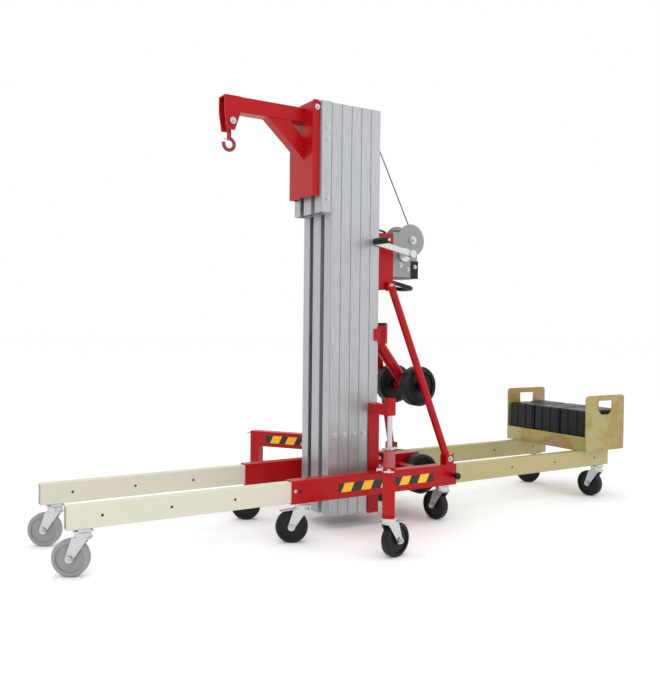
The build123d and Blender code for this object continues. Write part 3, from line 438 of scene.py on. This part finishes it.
# %% Mast bolts
SECTION_DEPTH = 47.4 * MM
ROLLER_ROWS = (388 * MM, 150 * MM)
ROLLER_PLACE = 0.55
ROLLER_HEAD = 8 * MM
for number in range(1, 5):
    low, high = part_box(f"mast_section_{number}")
    across = low[0] + ROLLER_PLACE * SECTION_DEPTH
    spots = []
    for height in ROLLER_ROWS:
        for side, y in zip(SIDES, (low[1], high[1])):
            spots.append(((across, y, height), (0, side, 0), ROLLER_HEAD))
    bolts(f"roller_bolts_{number}", f"mast_{number}", spots)

CARRIAGE_BOLT_IN = 29 * MM
CARRIAGE_HEAD = 6.5 * MM
low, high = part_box("carriage")
carriage_rows = (high[2] - 104 * MM, high[2] - 153 * MM, low[2] + 55 * MM)
spots = []
for side, y in zip(SIDES, (low[1], high[1])):
    for height in carriage_rows:
        spots.append(((low[0] + CARRIAGE_BOLT_IN, y, height), (0, side, 0), CARRIAGE_HEAD))
bolts("carriage_bolts", "carriage", spots)

EAR_IN, EAR_DOWN, EAR_HEAD = 20 * MM, 30 * MM, 8 * MM
HOOK_PIN_HEAD = 9 * MM
spots = []
low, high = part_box("jib_bracket")
for side, y in zip(SIDES, (low[1], high[1])):
    spots.append(((low[0] + EAR_IN, y, high[2] - EAR_DOWN), (0, side, 0), EAR_HEAD))
hook_pin, _ = joint_axis["hook"]
low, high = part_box("jib_boom")
for side, y in zip(SIDES, (low[1], high[1])):
    spots.append(((hook_pin[0], y, hook_pin[2]), (0, side, 0), HOOK_PIN_HEAD))
bolts("jib_bolts", "carriage", spots)
print("mast, carriage and jib bolts done")

# %% [markdown]
# ### Axle nuts
# A caster's wheel turns on a bolt through its fork, and a nut shows on each cheek. The nuts belong
# to the fork, not to the wheel, so they stay still when the wheel rolls. The joint gives the middle
# and the direction of each axle.

# %% Axle nuts
AXLE_HALF = 28.5 * MM
AXLE_NUT = 7.5 * MM
LOADER_AXLE_PAST = 10.2 * MM
LOADER_NUT = 10 * MM
for name in list(frame["bodies"]):
    if not name.startswith("wheel_"):
        continue
    centre, axis = joint_axis[name]
    fork = name.replace("wheel_", "fork_")
    spots = [(centre + axis * AXLE_HALF * side, axis * side, AXLE_NUT) for side in SIDES]
    bolts(f"axle_nuts_{fork}", fork, spots)
for pair in ("upper", "lower"):
    centre, _ = joint_axis[f"loader_wheels_{pair}"]
    low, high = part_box(f"loader_wheels_{pair}")
    ends = (low[1] - LOADER_AXLE_PAST, high[1] + LOADER_AXLE_PAST)
    spots = []
    for side, y in zip(SIDES, ends):
        spots.append(((centre[0], y, centre[2]), (0, side, 0), LOADER_NUT))
    bolts(f"loader_axle_nuts_{pair}", "base", spots)
print("axle nuts done")

# %% [markdown]
# ### Rope turns on the drum
# A hand winch shows its wire rope lying turn beside turn on the drum. A real winding is a helix,
# but a ring and one turn of this pitch look the same, and rings need no ends. So each turn is a
# closed ring that rides on the drum.

# %% Rope turns
drum_centre, _ = joint_axis["drum"]
ROPE_RADIUS = 2.4 * MM
ROPE_PITCH = 5 * MM
TURN_RADIUS = 52.4 * MM
TURNS = 19
RING_STEPS, ROPE_STEPS = 64, 8
mesh_data = bmesh.new()
for turn_number in range(TURNS):
    y = (turn_number - (TURNS - 1) / 2) * ROPE_PITCH
    rings = []
    for step in range(RING_STEPS):
        angle = 2 * math.pi * step / RING_STEPS
        ring = []
        for part in range(ROPE_STEPS):
            lay = 2 * math.pi * part / ROPE_STEPS
            radius = TURN_RADIUS + ROPE_RADIUS * math.cos(lay)
            spot = Vector(
                (
                    radius * math.cos(angle),
                    y + ROPE_RADIUS * math.sin(lay),
                    radius * math.sin(angle),
                )
            )
            ring.append(mesh_data.verts.new(drum_centre + spot))
        rings.append(ring)
    for step in range(RING_STEPS):
        here, ahead = rings[step], rings[(step + 1) % RING_STEPS]
        for part in range(ROPE_STEPS):
            beside = (part + 1) % ROPE_STEPS
            mesh_data.faces.new((here[part], ahead[part], ahead[beside], here[beside]))
bmesh.ops.recalc_face_normals(mesh_data, faces=mesh_data.faces)
finish_mesh("rope_turns", mesh_data, "drum", rope_wire, smooth=True)
print("rope turns", TURNS)

# %% [markdown]
# ### Ratchet wheel
# A ratchet on the crank's shaft stops the load from running back. Its teeth lean one way: a long
# slope that lifts the pawl and a short face that holds it. It would be cut from plate, so here it
# is one toothed outline with a thickness.

# %% Ratchet wheel
crank_centre, _ = joint_axis["crank"]
winch_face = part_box("winch_frame")[0][1]
RATCHET_RADIUS, RATCHET_ROOT, RATCHET_TEETH = 33 * MM, 28 * MM, 16
TOOTH_SLOPE = 0.92
ratchet_faces = (winch_face - 8.5 * MM, winch_face - 1.5 * MM)
mesh_data = bmesh.new()
rims = []
for y in ratchet_faces:
    rim = []
    for tooth in range(RATCHET_TEETH):
        for share, radius in ((0.0, RATCHET_ROOT), (TOOTH_SLOPE, RATCHET_RADIUS)):
            angle = 2 * math.pi * (tooth + share) / RATCHET_TEETH
            x = crank_centre[0] + radius * math.cos(angle)
            z = crank_centre[2] + radius * math.sin(angle)
            rim.append(mesh_data.verts.new((x, y, z)))
    rims.append(rim)
close_rings(mesh_data, rims[0], rims[1])
bmesh.ops.recalc_face_normals(mesh_data, faces=mesh_data.faces)
finish_mesh("ratchet_wheel", mesh_data, "crank", zinc)
print("ratchet teeth", RATCHET_TEETH)

# %% [markdown]
# ### Winch and frame bolts
# The winch is bolted together from pressed plates, and the struts are bolted at both ends so that
# they can be taken off. Only the heads that face outward are worth making.

# %% Winch and frame bolts
SHAFT_NUT, SHAFT_NUT_OUT = 12 * MM, 1.5 * MM
shaft_end = (drum_centre[0], winch_face - SHAFT_NUT_OUT, drum_centre[2])
bolts("drum_shaft_nut", "drum", [(shaft_end, (0, -1, 0), SHAFT_NUT)])

cover_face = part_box("winch_cover")[0][1]
# Distance behind the tubes' front end, sideways place, height and head radius.
WINCH_BOLTS = (
    (622 * MM, winch_face, 1106 * MM, 7 * MM),
    (662 * MM, winch_face, 1088 * MM, 6 * MM),
    (698 * MM, cover_face, 1100 * MM, 6 * MM),
)
# The struts' upper and lower ends, then the leg pins at the front of the tubes.
PAIRED_BOLTS = (
    (556 * MM, 88 * MM, 1008 * MM, 8 * MM),
    (778 * MM, 226 * MM, 268 * MM, 8 * MM),
    (15 * MM, 230 * MM, 206 * MM, 4.5 * MM),
)
spots = [((tube_front_x + x, y, z), (0, -1, 0), head) for x, y, z, head in WINCH_BOLTS]
for side in SIDES:
    for x, y, z, head in PAIRED_BOLTS:
        spots.append(((tube_front_x + x, side * y, z), (0, side, 0), head))
bolts("frame_bolts", "base", spots)
print("winch and frame bolts", len(spots))

# %% [markdown]
# ### Lever, cap, painted hole shade and the loader's pivot head
# A short moulded lever stands on the winch bracket, and a cap closes the tube that the loader arm
# turns on. A thin black disc near the front of each base tube is painted shade: it stands for the
# dark inside of a pin hole. The pivot head is a length of round tube, so a cylinder with a tapered
# cap shows it.

# %% Lever, cap, painted hole shade and pivot head
LEVER_IN, LEVER_SIDE = 42 * MM, -58 * MM
LEVER_RISE = 6 * MM
LEVER_LEAN = (-0.9, -0.35, 0.1)
HEAD_RADIUS, HEAD_LENGTH = 30 * MM, 82 * MM
CAP_TOP, CAP_HEIGHT = 26 * MM, 10 * MM
ROUND_SIDES = 48
TUBE_FACE = 230 * MM
UP = Vector((0, 0, 1))
bracket_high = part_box("winch_bracket")[1]
lever_foot = Vector((bracket_high[0] - LEVER_IN, LEVER_SIDE, bracket_high[2]))
head_top = Vector((tube_front_x + 563 * MM, 0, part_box("loader_frame")[1][2]))

mesh_data = bmesh.new()
prism(mesh_data, lever_foot, UP, 6 * MM, 9 * MM, 20)
prism(mesh_data, lever_foot + UP * LEVER_RISE, LEVER_LEAN, 4.5 * MM, 52 * MM, 16)
prism(mesh_data, head_top, UP, HEAD_RADIUS, CAP_HEIGHT, ROUND_SIDES, top=CAP_TOP)
# Painted shade: a thin black disc stands for the dark inside of each tube's pin hole.
for side in SIDES:
    hole_shade_spot = (tube_front_x + 36 * MM, side * TUBE_FACE, 202 * MM)
    prism(mesh_data, hole_shade_spot, (0, side, 0), 6 * MM, 0.4 * MM, 24)
finish_mesh("cap_lever_and_painted_hole_shade", mesh_data, "base", plastic_black)

mesh_data = bmesh.new()
prism(mesh_data, head_top - UP * HEAD_LENGTH, UP, HEAD_RADIUS, HEAD_LENGTH, ROUND_SIDES)
finish_mesh("loader_pivot_head", mesh_data, "base", red)
print("lever, caps and pivot head done")

# %% [markdown]
# ### Clamp screws on the stabiliser posts
# Two T-screws near the top of each post hold the caster's stem at its height. A T-screw is a
# threaded rod with a cross bar for the fingers, so three prisms make one. They ride on the
# stabiliser and swing out with it.

# %% T-screws
SCREW_HEIGHT = 320 * MM
POST_HALF = 22.5 * MM
BAR_OUT, BAR_HALF = 20 * MM, 18 * MM


def arm_line(label):
    """A stabiliser's pivot, its post and the level direction from one to the other."""
    pivot, _ = joint_axis[f"stabiliser_{label}"]
    post, _ = joint_axis[f"fork_stabiliser_{label}"]
    reach = Vector((post[0] - pivot[0], post[1] - pivot[1], 0)).normalized()
    return pivot, post, reach


for label in ("near", "far"):
    _, post, reach = arm_line(label)
    mesh_data = bmesh.new()
    for out in (reach.cross(UP), reach):
        foot = Vector((post[0], post[1], SCREW_HEIGHT)) + out * POST_HALF
        prism(mesh_data, foot, out, 9 * MM, 3 * MM, 6)
        prism(mesh_data, foot, out, 4 * MM, 22 * MM, 16)
        bar = UP.cross(out)
        prism(mesh_data, foot + out * BAR_OUT - bar * BAR_HALF, bar, 3 * MM, 2 * BAR_HALF, 12)
    finish_mesh(f"post_screws_{label}", mesh_data, f"stabiliser_{label}", zinc)
print("post screws done")

# %% [markdown]
# ### Black and yellow stripes
# Strips of black vinyl with leaning yellow bars run along the outside of the base tubes and the
# arms, so that people see what stands out at foot height. They are made as thin plates that lie on
# the paint, with the yellow just above the black, because real film has a thickness and an edge.

# %% Stripes
BAR_WIDTH = 46 * MM
BAR_LEAN = 0.5
BLACK_FILM, YELLOW_FILM = 0.3 * MM, 0.5 * MM


def stripe_panel(name, body, origin, along, up, length, height, bars):
    """A film panel: a black plate with yellow parallelograms just above it."""
    along, up = Vector(along).normalized(), Vector(up).normalized()
    out = along.cross(up)
    origin = Vector(origin)

    def plate(outlines, low, high):
        mesh_data = bmesh.new()
        for outline in outlines:
            rings = []
            for level in (high, low):
                lifted = origin + out * level
                rings.append(
                    [mesh_data.verts.new(lifted + along * u + up * v) for u, v in outline]
                )
            close_rings(mesh_data, rings[0], rings[1])
        bmesh.ops.recalc_face_normals(mesh_data, faces=mesh_data.faces)
        return mesh_data

    back = plate([[(0, 0), (length, 0), (length, height), (0, height)]], 0.0, BLACK_FILM)
    finish_mesh(f"{name}_black", back, body, stripe_black)
    lean = height * BAR_LEAN
    rows = []
    for start in bars:
        end = start + BAR_WIDTH
        rows.append([(start, 0), (end, 0), (end + lean, height), (start + lean, height)])
    front = plate(rows, BLACK_FILM, YELLOW_FILM)
    finish_mesh(f"{name}_yellow", front, body, stripe_yellow)


STRIPE_HEIGHT = 35 * MM
STRIPE_LOW = 181 * MM
STRIPE_START = 207 * MM
STRIPE_LENGTH = 478 * MM
tube_bars = [13 * MM + number * 94.5 * MM for number in range(5)]
for label, side in (("near", -1), ("far", 1)):
    start = tube_front_x + STRIPE_START + (STRIPE_LENGTH if side > 0 else 0)
    stripe_panel(
        f"tube_stripes_{label}",
        "base",
        (start, side * TUBE_FACE, STRIPE_LOW),
        (-side, 0, 0),
        UP,
        STRIPE_LENGTH,
        STRIPE_HEIGHT,
        tube_bars,
    )

ARM_HALF = 22.5 * MM
ARM_STRIPE_LOW = 280 * MM
ARM_STRIPE_START = 60 * MM
ARM_STRIPE_LENGTH = 250 * MM
arm_bars = [22 * MM + number * 78 * MM for number in range(3)]
for label in ("near", "far"):
    pivot, _, reach = arm_line(label)
    for face, out in (("a", reach.cross(UP)), ("b", UP.cross(reach))):
        along = UP.cross(out)
        first = ARM_STRIPE_START
        if along.dot(reach) <= 0:
            first += ARM_STRIPE_LENGTH
        corner = Vector((pivot[0], pivot[1], ARM_STRIPE_LOW)) + reach * first + out * ARM_HALF
        stripe_panel(
            f"arm_stripes_{label}_{face}",
            f"stabiliser_{label}",
            corner,
            along,
            UP,
            ARM_STRIPE_LENGTH,
            STRIPE_HEIGHT,
            arm_bars,
        )
print("stripes done")

# %% [markdown]
# ## Camera
# The camera stands where the photograph was taken, a little below chest height and nearly level.
# Its angles and focal length come from a fit of known points on the machine, so the dressed model
# can be laid over the photograph and compared.

# %% Camera
FRAME_WIDTH, FRAME_HEIGHT = 660, 678
FOCAL_PIXELS = 781.2
AZIMUTH, PITCH, ROLL = math.radians(31.44), math.radians(1.03), math.radians(0.63)
CAMERA_PLACE = Vector((tube_front_x - 1.4223, -2.8203, 0.840))
forward = Vector(
    (
        math.sin(AZIMUTH) * math.cos(PITCH),
        math.cos(AZIMUTH) * math.cos(PITCH),
        -math.sin(PITCH),
    )
)
level_right = Vector((math.cos(AZIMUTH), -math.sin(AZIMUTH), 0))
level_above = level_right.cross(forward)
right = level_right * math.cos(ROLL) + level_above * math.sin(ROLL)
above = level_above * math.cos(ROLL) - level_right * math.sin(ROLL)
lens = bpy.data.cameras.new("camera")
lens.sensor_width = 36.0
lens.lens = FOCAL_PIXELS * lens.sensor_width / max(FRAME_WIDTH, FRAME_HEIGHT)
camera = bpy.data.objects.new("camera", lens)
bpy.context.scene.collection.objects.link(camera)
turn = Matrix((right, above, -forward)).transposed().to_4x4()
camera.matrix_world = Matrix.Translation(CAMERA_PLACE) @ turn
bpy.context.scene.camera = camera
print("camera at", [round(v, 3) for v in CAMERA_PLACE])

# %% [markdown]
# ## Floor and light
# The photograph is a catalogue picture: white all round, with a soft shadow under the wheels. A
# white floor and a white sky give most of that light. Three large lamps add the direction: a key
# from the front left, a weaker fill from the right, and one above for the tops of the tubes. Large
# lamps are used because their shadows have soft edges.

# %% Floor and light
FLOOR_SIZE = 80
# A matt white floor: no mirror image, only shadow and a little bounced light.
floor_material, _, _ = new_material(
    "matt_white_studio_floor", Base_Color=linear("#FFFFFF"), Roughness=1.0
)
bpy.ops.mesh.primitive_plane_add(size=FLOOR_SIZE, location=(0, 0, 0))
floor = bpy.context.object
floor.name = "studio_floor"
floor.data.materials.append(floor_material)
floor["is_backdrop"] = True

world = bpy.data.worlds.new("studio")
bpy.context.scene.world = world
world.use_nodes = True
sky = world.node_tree.nodes["Background"]
sky.inputs["Color"].default_value = linear("#FFFFFF")
sky.inputs["Strength"].default_value = 1.0
bpy.context.scene.view_settings.view_transform = "Standard"


def area_light(name, place, target, size, power):
    """A soft square lamp that faces the target."""
    lamp = bpy.data.lights.new(name, "AREA")
    lamp.size = size
    lamp.energy = power
    obj = bpy.data.objects.new(name, lamp)
    obj.location = place
    facing = Vector(target) - Vector(place)
    obj.rotation_euler = facing.to_track_quat("-Z", "Y").to_euler()
    bpy.context.scene.collection.objects.link(obj)


area_light("key", place=(-2.5, -3.5, 3.6), target=(0, 0, 0.8), size=2.5, power=45)
area_light("fill", place=(3.2, -3.0, 2.6), target=(0.3, 0, 0.6), size=2.5, power=14)
area_light("top", place=(0, 0.5, 4.5), target=(0, 0, 0.5), size=3.0, power=30)
print("studio ready")

# %% [markdown]
# The dressed model has to stay the size of the solids. Its bounds now are printed as a size, so
# that anything that sticks out too far shows up as a number.

# %% Print the dressed size and finish
low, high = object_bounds()
print("dressed size", [round(b - a, 4) for a, b in zip(low, high)])
